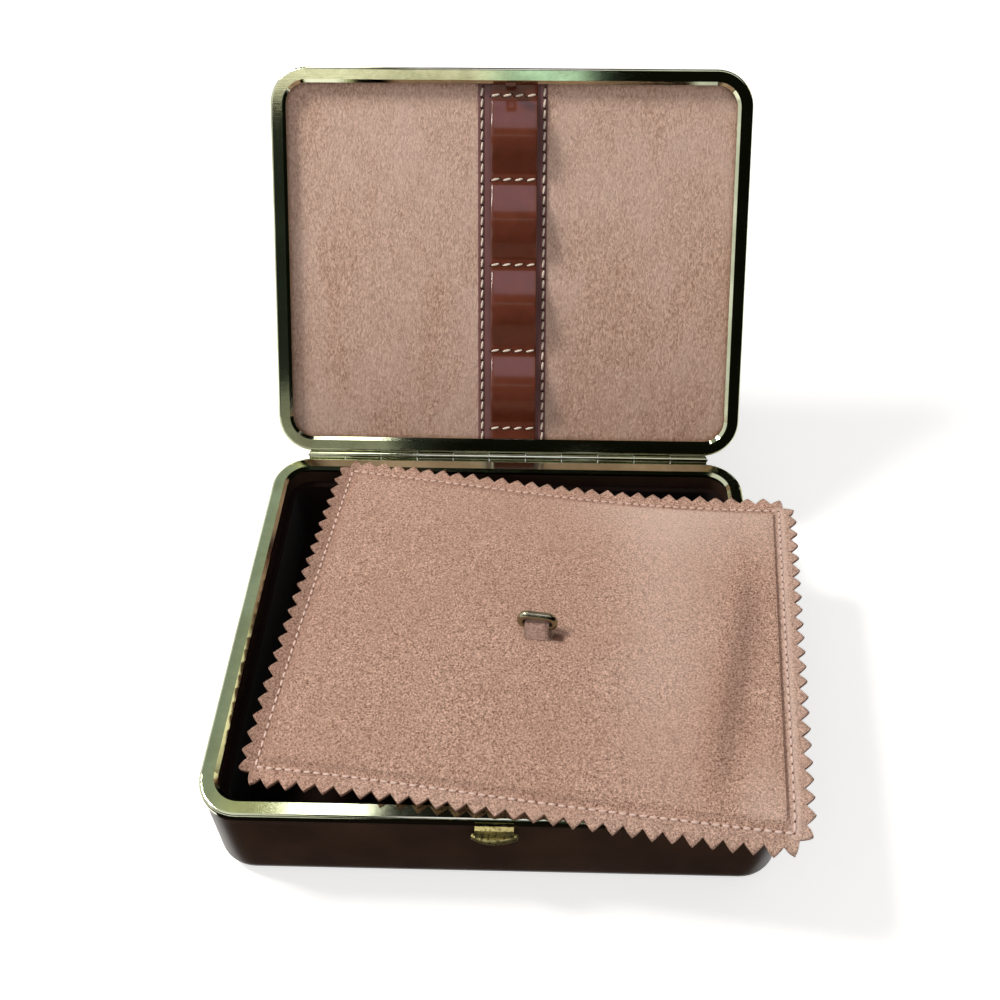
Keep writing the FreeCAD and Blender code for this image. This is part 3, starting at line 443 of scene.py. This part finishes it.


# ---------------------------------------------------------------- strap in the lid
# A strip of bridle leather down the middle of the panel, its edges bevelled
# and creased with a hot tool, sewn down each side.
def bridle_leather(name, pale, deep, roughness):
    """Glazed leather: two close browns, faint pores, gloss from a wax finish."""
    material, tree, hide, place = start_material(
        name, Roughness=roughness, Specular_IOR_Level=0.4, Coat_Weight=0.3, Coat_Roughness=0.1)
    mottle = add(tree, "TexNoise", {"Scale": 1000 / 6.67, "Detail": 4.0}, {"Vector": place})
    pores = add(tree, "TexVoronoi", {"Scale": 1000 / 0.556}, {"Vector": place})
    colour = add(tree, "Mix", {6: linear(deep), 7: linear(pale)}, {0: mottle.outputs[0]}, data_type="RGBA")
    tree.links.new(colour.outputs[2], hide.inputs["Base Color"])
    raised = add(tree, "Bump", {"Strength": 0.08, "Distance": 0.1 * MM},
                 {"Height": pores.outputs["Distance"]})
    tree.links.new(raised.outputs[0], hide.inputs["Normal"])
    return material


# Painted sheen: the strap's colours are paler and more lavender than the hide, for reflected light.
strap_leather_with_painted_sheen = bridle_leather("bridle_leather_with_painted_sheen", "#784e4d", "#5a3836", 0.38)
strap_half, strap_end = 13.87, 72.3        # half its width and half its length
strap_middle, strap_skew = 1.1, 0.45       # right of the lid's middle; how far its ends lean from there
strap_top = -3.65                          # its face, below the mouth of the lid
# Section from the edge to the middle: the cut side, the bevel, the crease and the flat face.
across = np.array([1, 1, 0.985, 0.96, 0.9, 0.84, 0.815, 0.8, 0.785, 0.76, 0.6, 0.3])
rise = np.array([-0.85, -0.35, -0.1, 0, 0.02, 0, -0.12, -0.18, -0.12, 0, 0.02, 0.02])
section_x = np.concatenate([across, [0], -across[::-1]]) * strap_half
section_z = np.concatenate([rise, [0.02], rise[::-1]]) + strap_top
length = np.linspace(strap_end, -strap_end, 60)
x = strap_middle + section_x[None, :] - strap_skew * (length / strap_end)[:, None]
z = section_z[None, :] + 0.04 * np.sin(length / 6.0)[:, None]
y = np.broadcast_to(length[:, None], x.shape)
strap = plain_mesh("strap_strip", in_lid(np.stack([x, y, z], -1)), ring_faces(*x.shape), strap_leather_with_painted_sheen)
smooth(strap, 60)
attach(strap, "lid")
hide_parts("strap_base")

# ---------------------------------------------------------------- loops on the strap
# A narrower strip of glossier leather, sewn across at five rows and left to bow up between
# them into four loops that hold small things.
loop_leather = bridle_leather("glazed_calf_strip", "#6c3420", "#4f2214", 0.24)
rows = np.array([67.05, 34.45, 0.65, -34.45, -66.85])      # where it is sewn, from the front to the hinge
loop_half, loop_middle, loop_thick = 9.15, 1.85, 1.1
row_flat = 2.2                             # half of the flat foot at each row
crown = np.array([5.3, 5.5, 5.4, 5.2])     # how far each loop bows up


def loop_height(y):
    """Height of the strip over the strap: flat at each row, and between rows a bow with a round crown."""
    height = np.zeros_like(y)
    for top, near, far in zip(crown, rows[:-1] - row_flat, rows[1:] + row_flat):
        share = np.clip((y - (near + far) / 2) / ((near - far) / 2), -1, 1)
        height += top * (1 - np.abs(share) ** 1.9) ** 1.35
    return height


strip_end = strap_end - 0.1
length = np.linspace(strip_end, -strip_end, 330)
height = loop_height(length)
slope = np.gradient(height, length)
tilt = np.stack([np.zeros_like(slope), -slope, np.ones_like(slope)], -1)
tilt /= np.linalg.norm(tilt, axis=1, keepdims=True)
across = np.array([1, 1, 0.98, 0.94, 0.8, 0.4, 0, -0.4, -0.8, -0.94, -0.98, -1, -1,
                   -0.97, -0.5, 0, 0.5, 0.97])
lift = np.array([0.15, 0.8, 0.95, 1, 1, 1, 1, 1, 1, 1, 0.95, 0.8, 0.15, 0, 0, 0, 0, 0]) * loop_thick
core = np.stack([np.full_like(length, loop_middle), length, strap_top + 0.03 + height], -1)
loops = core[:, None, :] + tilt[:, None, :] * lift[None, :, None]
loops[..., 0] += across * loop_half - strap_skew * (length / strap_end)[:, None]
strip = plain_mesh("loop_strip", in_lid(loops), ring_faces(*loops.shape[:2]), loop_leather)
smooth(strip, 50)
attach(strip, "lid")
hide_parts("strap_loops")

# ---------------------------------------------------------------- stitches on the strap
# Waxed linen thread, cream, saddle-stitched by hand: a column down each side of the strap
# and a short row across at each foot of the loops. Each stitch is a plump slanted grain.
waxed_linen, tree, linen, place = start_material("waxed_linen_thread", Roughness=0.6, Sheen_Weight=0.1)
ply = add(tree, "TexNoise", {"Scale": 1000 / 0.385, "Detail": 2.0}, {"Vector": place})
colour = add(tree, "Mix", {6: linear("#ece0cf"), 7: linear("#c9b7a2")}, {0: ply.outputs[0]}, data_type="RGBA")
twist = add(tree, "Bump", {"Strength": 0.5, "Distance": 0.2 * MM}, {"Height": ply.outputs[0]})
tree.links.new(colour.outputs[2], linen.inputs["Base Color"])
tree.links.new(twist.outputs[0], linen.inputs["Normal"])


def grains(middles, along, up, half_length, half_width, half_height):
    """Plump grains: rings of eight points about each grain's length, closed to a point at both ends."""
    middles, along, up = (np.asarray(a, float) for a in (middles, along, up))
    side = np.cross(up, along)
    share = np.array([-0.82, -0.4, 0, 0.4, 0.82])
    swell = np.sqrt(1 - share ** 2)
    around = 8
    turn = np.linspace(0, 2 * math.pi, around, endpoint=False)
    body = (middles[:, None, None]
            + along[:, None, None] * (share * half_length)[None, :, None, None]
            + side[:, None, None] * (swell[:, None] * np.cos(turn) * half_width)[None, :, :, None]
            + up[:, None, None] * (swell[:, None] * np.sin(turn) * half_height)[None, :, :, None])
    ends = np.stack([middles - along * half_length, middles + along * half_length], 1)
    points = np.concatenate([body.reshape(len(middles), -1, 3), ends], 1)
    step = np.arange(around)
    after = (step + 1) % around
    tip = around * len(share)
    quads = [np.stack([ring + step, ring + after, ring + around + after, ring + around + step], -1)
             for ring in range(0, tip - around, around)]
    first = np.stack([np.full(around, tip), after, step], -1)
    last = np.stack([np.full(around, tip + 1), tip - around + step, tip - around + after], -1)
    faces = []
    for number in range(len(middles)):
        start = number * (tip + 2)
        faces += (np.concatenate(quads) + start).tolist()
        faces += (np.concatenate([first, last]) + start).tolist()
    return points.reshape(-1, 3), faces


def unit(vectors):
    """The same arrows, each of length one."""
    return vectors / np.linalg.norm(vectors, axis=-1, keepdims=True)


column = np.arange(-70.2, 70.3, 4.2)       # a stitch every 4.2 mm
slant = unit(np.tile([0.16, 1.0, 0.0], (len(column), 1)))
sides = []
for side in (-11.1, 13.75):
    shift = side - strap_skew * column / strap_end
    sides.append(np.stack([shift, column, np.full_like(column, strap_top + 0.08)], -1))
row_x = np.array([-5.7, -1.0, 3.8, 8.6])
feet = np.stack(np.meshgrid(row_x, rows, indexing="ij"), -1).reshape(-1, 2)
crossing = np.column_stack([feet[:, 0] - strap_skew * feet[:, 1] / strap_end, feet[:, 1],
                            np.full(len(feet), strap_top + loop_thick + 0.12)])
middles = np.concatenate(sides + [crossing])
along = np.concatenate([slant, slant, unit(np.tile([1.0, 0.22, 0.0], (len(feet), 1)))])
up = np.tile([0.0, 0.0, 1.0], (len(middles), 1))
points, faces = grains(middles, along, up, half_length=1.75, half_width=0.46, half_height=0.42)
seam = plain_mesh("strap_stitches", in_lid(points), faces, waxed_linen)
smooth(seam, 80)
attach(seam, "lid")

# Each stitch dips at both ends into a slit made by an awl: a small dark grain, painted shade inside it.
awl_slit_shade, tree, slit_shade, place = start_material("awl_slit_painted_shade", Roughness=0.9, Specular_IOR_Level=0.1)
inner = add(tree, "TexNoise", {"Scale": 1000 / 0.5}, {"Vector": place})
colour = add(tree, "Mix", {6: linear("#26170f"), 7: linear("#3d2820")}, {0: inner.outputs[0]},
             data_type="RGBA")
tree.links.new(colour.outputs[2], slit_shade.inputs["Base Color"])
ends = np.concatenate([middles - along * 1.9, middles + along * 1.9]) - [0, 0, 0.1]
points, faces = grains(ends, np.tile(along, (2, 1)), np.tile(up, (2, 1)),
                       half_length=0.5, half_width=0.42, half_height=0.16)
slits = plain_mesh("strap_awl_slits", in_lid(points), faces, awl_slit_shade)
smooth(slits, 80)
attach(slits, "lid")

# ---------------------------------------------------------------- pad
# Two sheets of suede with pinked edges over a stiff card, sewn together round the card. It
# lies askew on the open base, its right end curled up and its middle sunk a little.
pad_suede = brushed_suede("pinked_rose_suede", "#ebc3ae", "#b28873", "#785443",
                          nap_mm=0.56, stroke_mm=38, patchy=0.25)
# Cut edges and needle holes are painted dark: painted shade on the edges and in the holes.
shaded_cut_suede, tree, hide, place = start_material("cut_edge_of_suede_painted_shade", Roughness=0.95, Specular_IOR_Level=0.1)
core = add(tree, "TexNoise", {"Scale": 1000 / 0.667, "Detail": 3.0}, {"Vector": place})
colour = add(tree, "Mix", {6: linear("#8a6555"), 7: linear("#5b3e33")}, {0: core.outputs[0]},
             data_type="RGBA")
tree.links.new(colour.outputs[2], hide.inputs["Base Color"])
pad_turn = math.radians(-6.8)
pad_middle = np.array([14.36, -7.55])
pad_long, pad_wide = 182.2 / 2, 140.6 / 2       # half its length and width over the tips of the teeth
tooth = 2.9                                     # from foot to tip
teeth_long, teeth_short = 29, 23
per_tooth = 6                                   # steps of the grid to one tooth
corner_radius = 6.5
rim, front_edge = 42.0, -77.0                   # of the base, on which the pad lies


def bow(x, y):
    """How far the pad lies above flat: the right end curls up, the left back corner lifts, the left
    front corner and the middle of the back edge sink into the base, and what overhangs the front droops."""
    s, t = x / pad_long, y / pad_wide
    right, left = np.maximum(s, 0), np.maximum(-s, 0)
    curl = 5.2 * right ** 2.85
    lift = 2.0 * left ** 1.5 - 4.2 * left ** 3 * np.maximum(0.1 - t, 0) ** 2
    sag = 1.1 * np.maximum(t, 0) ** 1.6 * np.exp(-((s - 0.15) / 0.4) ** 2)
    beyond = np.maximum(front_edge - pad_middle[1] - x * math.sin(pad_turn) - y * math.cos(pad_turn), 0)
    return curl + lift - sag - 0.33 * beyond ** 1.2


def on_pad(points):
    """Points in millimetres in the pad's own axes, height above the rim, to their place in metres."""
    x, y, z = np.moveaxis(np.asarray(points, float), -1, 0)
    turned = [x * math.cos(pad_turn) - y * math.sin(pad_turn) + pad_middle[0],
              x * math.sin(pad_turn) + y * math.cos(pad_turn) + pad_middle[1], z + rim + bow(x, y)]
    return np.stack(turned, -1) * MM


def pinked_sheet(name, height, brushed=None):
    """A sheet on a grid of even steps, its corners drawn in to quarter circles, and outside it two rows
    that run out along the outline's own direction to the tips of the teeth."""
    reach = np.array([pad_long - tooth, pad_wide - tooth])
    steps = [np.linspace(-1, 1, teeth * per_tooth + 1) for teeth in (teeth_long, teeth_short)]
    ends = [np.concatenate([[-1, -1], step, [1, 1]]) for step in steps]
    push = [np.concatenate([[1, 0.5], np.zeros(len(step)), [0.5, 1]]) for step in steps]
    x, y = np.meshgrid(ends[0] * reach[0], ends[1] * reach[1], indexing="ij")
    inside = np.minimum(reach[0] - np.abs(x), reach[1] - np.abs(y))
    corner_x = np.clip((np.abs(x) - reach[0] + corner_radius) / corner_radius, 0, 1)
    corner_y = np.clip((np.abs(y) - reach[1] + corner_radius) / corner_radius, 0, 1)
    out_x = corner_x * np.sqrt(1 - corner_y ** 2 / 2)
    out_y = corner_y * np.sqrt(1 - corner_x ** 2 / 2)
    zigzag = [1 - np.abs(2 * ((end + 1) / 2 * teeth % 1) - 1) ** 1.15
              for end, teeth in zip(ends, (teeth_long, teeth_short))]
    run = push[0][:, None] * zigzag[1][None, :] + push[1][None, :] * zigzag[0][:, None]
    ahead = np.maximum(np.hypot(out_x, out_y), 1e-6)
    x = np.sign(x) * (np.minimum(np.abs(x), reach[0] - corner_radius) + out_x * corner_radius
                      + run * tooth * out_x / ahead)
    y = np.sign(y) * (np.minimum(np.abs(y), reach[1] - corner_radius) + out_y * corner_radius
                      + run * tooth * out_y / ahead)
    inside = inside - run * tooth
    flutter = 0.3 * np.sin(x * 0.55) * np.sin(y * 0.6) * np.clip(1 - inside / 5, 0, 1)
    grid = on_pad(np.stack([x, y, height(inside) + flutter], -1))
    rows, columns = x.shape
    row, column = np.meshgrid(np.arange(rows - 1), np.arange(columns - 1), indexing="ij")
    corner = row * columns + column
    faces = np.stack([corner, corner + columns, corner + columns + 1, corner + 1], -1).reshape(-1, 4).tolist()
    piece = plain_mesh(name, grid, faces, pad_suede)
    piece.data.materials.append(shaded_cut_suede)
    # The brushed function paints the top sheet paler and darker, with painted shade and a painted shadow.
    if brushed:
        lay_tone_and_shade(piece, brushed(x, y, inside))
    thin = piece.vertex_groups.new(name="thin_at_the_teeth")
    weights = np.clip(0.5 + inside / 8, 0.5, 1).ravel()
    shell = bmesh.new()
    shell.from_mesh(piece.data)
    held = shell.verts.layers.deform.verify()
    for corner, weight in zip(shell.verts, weights):
        corner[held][thin.index] = weight
    bmesh.ops.remove_doubles(shell, verts=shell.verts, dist=1e-6)
    bmesh.ops.dissolve_degenerate(shell, edges=shell.edges, dist=1e-7)
    shell.to_mesh(piece.data)
    shell.free()
    wall = piece.modifiers.new("thickness", "SOLIDIFY")
    wall.thickness = 1.15 * MM
    wall.offset = -1
    wall.material_offset_rim = 1
    wall.vertex_group = thin.name
    return smooth(piece, 50)


seam_inset, step_inset, card_inset = 3.4, 5.0, 6.8       # inwards from the foot of the teeth
step_width = 1.2


def top_height(inside):
    """Outer face of the top sheet: the margin, a groove along the seam, and a soft step up on to the card."""
    step = np.clip((inside - step_inset) / step_width, 0, 1)
    seam = np.exp(-((inside - seam_inset) / 0.8) ** 2)
    return 2.4 - 0.3 * seam + 1.6 * step * step * (3 - 2 * step)


def top_tone_and_shade(x, y, inside):
    """How the top sheet is painted: paler on the right and front margins, at the back, in a broad band
    where the pad starts to curl and at the front right corner; darker on the left margin and in one long
    stroke past the pale band. Painted shade along the seam groove and the step on to the card, more
    beside the step on the right, and a painted shadow of the ring and its tab on the pad beside it."""
    s, t = x / pad_long, y / pad_wide
    brow = step_inset + step_width / 2       # middle of the step
    margin = np.clip((brow - inside) / 0.9, 0, 1)
    right = 0.95 * np.clip((s - 0.9) / 0.05, 0, 1) * np.clip((inside - 0.6) / 2.4, 0.2, 1)
    left = 0.4 * np.clip((-s - 0.9) / 0.05, 0, 1)
    front = 0.12 * np.clip((-t - 0.86) / 0.05, 0, 1) * np.clip((s + 0.8) / 0.3, 0, 1)
    back = 0.34 * np.exp(-((t - 1) / 0.4) ** 2) * np.clip((s + 0.25) / 0.5, 0.25, 1)
    band = 0.22 * np.exp(-((s - 0.46) / 0.19) ** 2) * np.clip((t + 1.1) / 0.9, 0.2, 1)
    band += 0.05 * np.clip((s - 0.25) / 0.3, 0, 1)
    bend = s - 0.74 - 0.05 * np.sin(2.6 * t + 0.6)
    stroke = 0.46 * np.exp(-(bend / 0.06) ** 2) * np.exp(-((t + 0.2) / 0.68) ** 4)
    corner = 0.3 * np.exp(-((s - 0.85) / 0.16) ** 2 - ((t + 0.95) / 0.3) ** 2)
    # Painted shade beside the step on the right, along the step all round and in the seam groove.
    step = 0.07 * np.exp(-((s - 0.93) / 0.05) ** 2)
    edge = 0.16 * np.exp(-((inside - brow) / 0.8) ** 2)
    seam = 0.12 * np.exp(-((inside - seam_inset) / 0.6) ** 2)
    # A painted shadow of the ring and its tab, cast on the pad beside the tab.
    slit_shade = 1.3 * np.exp(-((x - 6.3) / 2.4) ** 4 - ((y + 4.1) / 1.5) ** 4)
    return (margin * (right - left + front) + (1 - margin) * (back + band + corner - stroke - step)
            - edge - seam - slit_shade)


pad_top = pinked_sheet("pad_top_sheet", top_height, top_tone_and_shade)
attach(pad_top, "pad")
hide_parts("pad_top")


def under_height(inside):
    """Upper face of the lower sheet: flat under the card, and up to the top sheet along the margin."""
    return 1.22 + 0.55 * np.clip(1 - inside / 4, 0, 1)


pad_under = pinked_sheet("pad_under_sheet", under_height)
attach(pad_under, "pad")
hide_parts("pad_underside")

# The card between the sheets is the same grey pasteboard, bowed with them.
card_half = np.array([pad_long, pad_wide]) - tooth - card_inset
inset = np.array([60, 40, 20, 8, 1, 0, 0, 0.2, 8, 20, 40, 60])
level = np.array([1.24, 1.24, 1.24, 1.24, 1.24, 1.4, 2.5, 2.7, 2.7, 2.7, 2.7, 2.7])
rings = []
for depth, height in zip(inset, level):
    outline = rounded_rectangle(*(card_half - depth), max(4 - depth, 0.3), 8, 30)
    rings.append(np.column_stack([outline, np.full(len(outline), height)]))
card = plain_mesh("pad_card", on_pad(np.array(rings)), ring_faces(len(rings), len(rings[0])), pasteboard)
smooth(card)
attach(card, "pad")
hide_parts("pad_board")

# ---------------------------------------------------------------- seam round the pad
# Rose cotton thread, machine stitched through both sheets just outside the card.
rose_cotton, tree, cotton, place = start_material("rose_cotton_thread", Roughness=0.75, Sheen_Weight=0.1)
ply = add(tree, "TexNoise", {"Scale": 1000 / 0.385, "Detail": 2.0}, {"Vector": place})
colour = add(tree, "Mix", {6: linear("#f0d6ca"), 7: linear("#cdab9c")}, {0: ply.outputs[0]}, data_type="RGBA")
tree.links.new(colour.outputs[2], cotton.inputs["Base Color"])
seam_x, seam_y = pad_long - tooth - seam_inset, pad_wide - tooth - seam_inset
stitch = 3.1             # from one stitch to the next
seam_height = 2.3        # the thread's middle, over the rim
count_x, count_y = int(2 * seam_x // stitch), int(2 * seam_y // stitch)
walk_x = (np.arange(count_x) + 0.5) / count_x * 2 * seam_x - seam_x
walk_y = (np.arange(count_y) + 0.5) / count_y * 2 * seam_y - seam_y
places, runs = [], []
for sign in (-1, 1):
    places.append(np.column_stack([walk_x, np.full(count_x, sign * seam_y), np.full(count_x, seam_height)]))
    runs.append(np.tile([1.0, 0, 0], (count_x, 1)))
    places.append(np.column_stack([np.full(count_y, sign * seam_x), walk_y, np.full(count_y, seam_height)]))
    runs.append(np.tile([0, 1.0, 0], (count_y, 1)))
places, runs = np.concatenate(places), np.concatenate(runs)
upward = np.tile([0, 0, 1.0], (len(places), 1))
points, faces = grains(places, runs, upward, half_length=1.15, half_width=0.46, half_height=0.45)
pad_seam = plain_mesh("pad_stitches", on_pad(points), faces, rose_cotton)
smooth(pad_seam, 80)
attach(pad_seam, "pad")

# Between the stitches the thread goes down through needle holes: small dark grains, painted shade inside the
# holes.
points, faces = grains(places + runs * stitch / 2 - [0, 0, 0.05], runs, upward,
                       half_length=0.34, half_width=0.32, half_height=0.12)
holes = plain_mesh("pad_needle_holes", on_pad(points), faces, shaded_cut_suede)
smooth(holes, 80)
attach(holes, "pad")

# ---------------------------------------------------------------- tab of the ring
# A short doubled strip of the same suede. It comes up through a slit in the pad and folds
# round the straight bar of the ring.
tab_suede = brushed_suede("worn_tab_suede", "#dcb9aa", "#b8968a", "#8c6b5b",
                          nap_mm=0.5, stroke_mm=12, patchy=0.3)
bar = np.array([12.816, -8.675, 48.6])       # middle of the ring's straight bar, which lies along the pad
wire, slack, leather = 1.4, 0.06, 1.0        # half the wire, the play round it, the strip's thickness
eye = wire + slack + leather / 2
wrap = np.linspace(math.radians(-66), math.radians(145), 28)       # the part that lies round the bar
turn = np.column_stack([np.cos(wrap), np.sin(wrap)]) * eye
root_low, root_high = np.array([-3.3, -3.5]), np.array([-4.5, -3.0])       # its two ends, in the slit
share = np.linspace(0, 1, 12)[1:-1, None]
lower = root_low * (1 - share) + turn[0] * share
upper = turn[-1] * (1 - share) + root_high * share
spine = np.concatenate([lower, turn, upper])
ahead = unit(np.gradient(spine, axis=0))
normal = np.column_stack([-ahead[:, 1], ahead[:, 0]])
# Round the strip's own section: half its width and half its thickness, softened at the edges.
half = np.array([1, 0.97, 0.5, 0, -0.5, -0.97, -1, -1, -0.97, -0.5, 0, 0.5, 0.97, 1])
offset = np.array([-0.3, -0.47, -0.5, -0.5, -0.5, -0.47, -0.3, 0.3, 0.47, 0.5, 0.5, 0.5, 0.47, 0.3]) * leather
yz = spine[:, None, :] + normal[:, None, :] * offset[None, :, None]
spread = np.clip((-yz[..., 1] - 1.0) / 2.6, 0, 1)       # below the bar it widens and leans to the right
local_x = half * (4.3 + 0.6 * spread) + 1.2 * spread
local_y = yz[..., 0]
tab = np.stack([local_x * math.cos(pad_turn) - local_y * math.sin(pad_turn) + bar[0],
                local_x * math.sin(pad_turn) + local_y * math.cos(pad_turn) + bar[1],
                yz[..., 1] + bar[2]], -1)
tab = plain_mesh("ring_tab_strip", tab * MM, ring_faces(*tab.shape[:2]), tab_suede)
smooth(tab, 60)
# The tab is painted darker along both edges and towards its lower right.
lay_tone_and_shade(tab, -0.35 * (np.abs(half) > 0.9) - 0.3 * spread * np.clip(half + 0.2, 0, 1))
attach(tab, "pad")
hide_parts("ring_tab")

# ---------------------------------------------------------------- D-ring
# Round brass wire bent to a D and brazed shut, rubbed dull grey-brown by use and bright on top.
worn_brass, tree, brass, place = start_material("worn_brass_wire", Metallic=1.0, Roughness=0.2)
rubbed = add(tree, "TexNoise", {"Scale": 1000 / 3.85, "Detail": 5.0}, {"Vector": place})
colour = add(tree, "Mix", {6: linear("#b9b498"), 7: linear("#6c6650")}, {0: rubbed.outputs[0]},
             data_type="RGBA")
dents = add(tree, "Bump", {"Strength": 0.25, "Distance": 0.2 * MM}, {"Height": rubbed.outputs[0]})
tree.links.new(colour.outputs[2], brass.inputs["Base Color"])
tree.links.new(dents.outputs[0], brass.inputs["Normal"])
dress(worn_brass, "d_ring")
